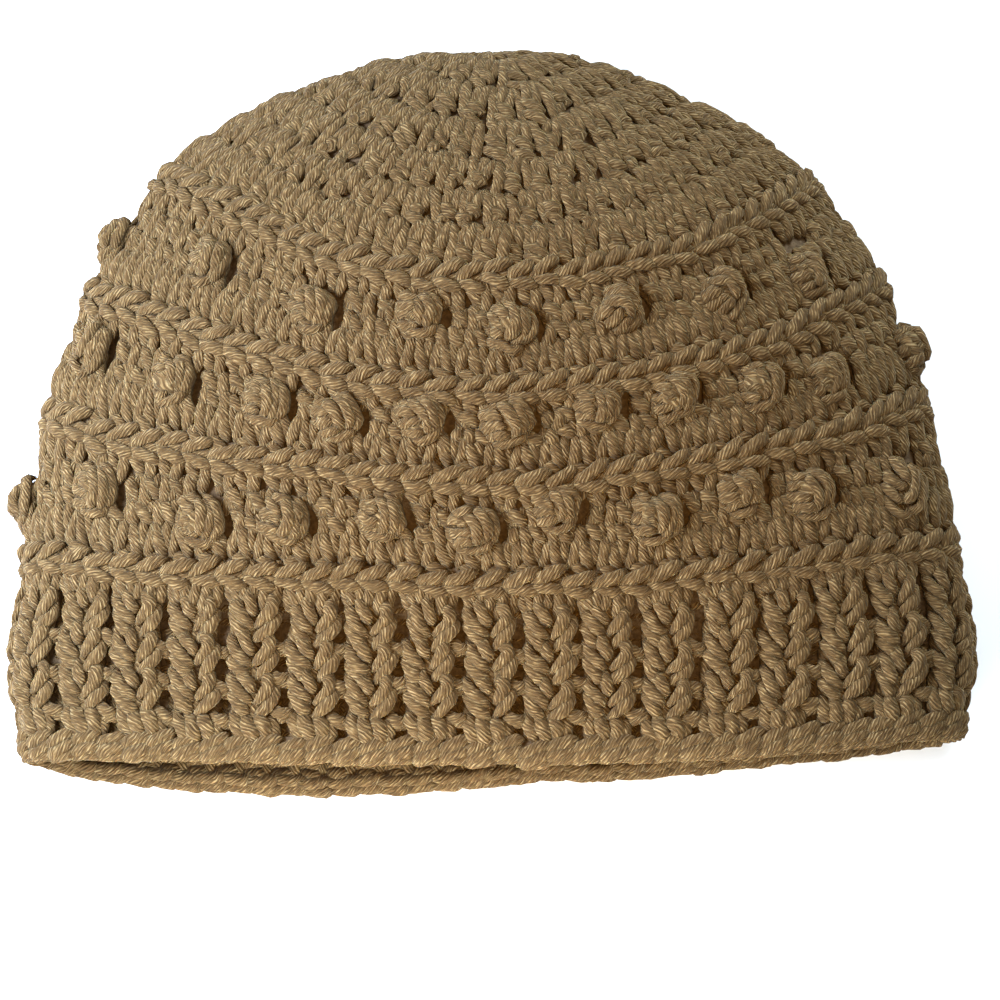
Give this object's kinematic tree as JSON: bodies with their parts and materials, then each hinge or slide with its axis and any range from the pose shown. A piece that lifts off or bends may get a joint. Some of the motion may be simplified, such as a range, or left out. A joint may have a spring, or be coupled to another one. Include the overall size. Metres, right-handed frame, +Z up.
{
  "type": "crochet beanie",
  "caption": "Crocheted beanie with a round crown, ridged bands of bobbles and a ribbed brim, lying flat on its back layer.",
  "frame": {"origin": "middle of the hat's footprint, on the surface it lies on", "axes": "+X along the width, -Y toward the open brim, +Y toward the crown, +Z up"},
  "size_m": [0.2496, 0.19, 0.0574],
  "materials": {
    "crown_yarn": "soft matte heathered taupe yarn",
    "ridge_yarn": "soft matte heathered taupe yarn",
    "band_yarn": "soft matte heathered taupe yarn",
    "brim_yarn": "soft matte heathered taupe yarn"
  },
  "bodies": {
    "root": {"crown_rounds": "crown_yarn", "ridge_round_1": "ridge_yarn", "bobble_band_1": "band_yarn", "ridge_round_2": "ridge_yarn", "bobble_band_2": "band_yarn", "ridge_round_3": "ridge_yarn", "bobble_band_3": "band_yarn", "ridge_round_4": "ridge_yarn", "ribbed_brim": "brim_yarn", "edge_round": "brim_yarn"}
  },
  "joints": []
}
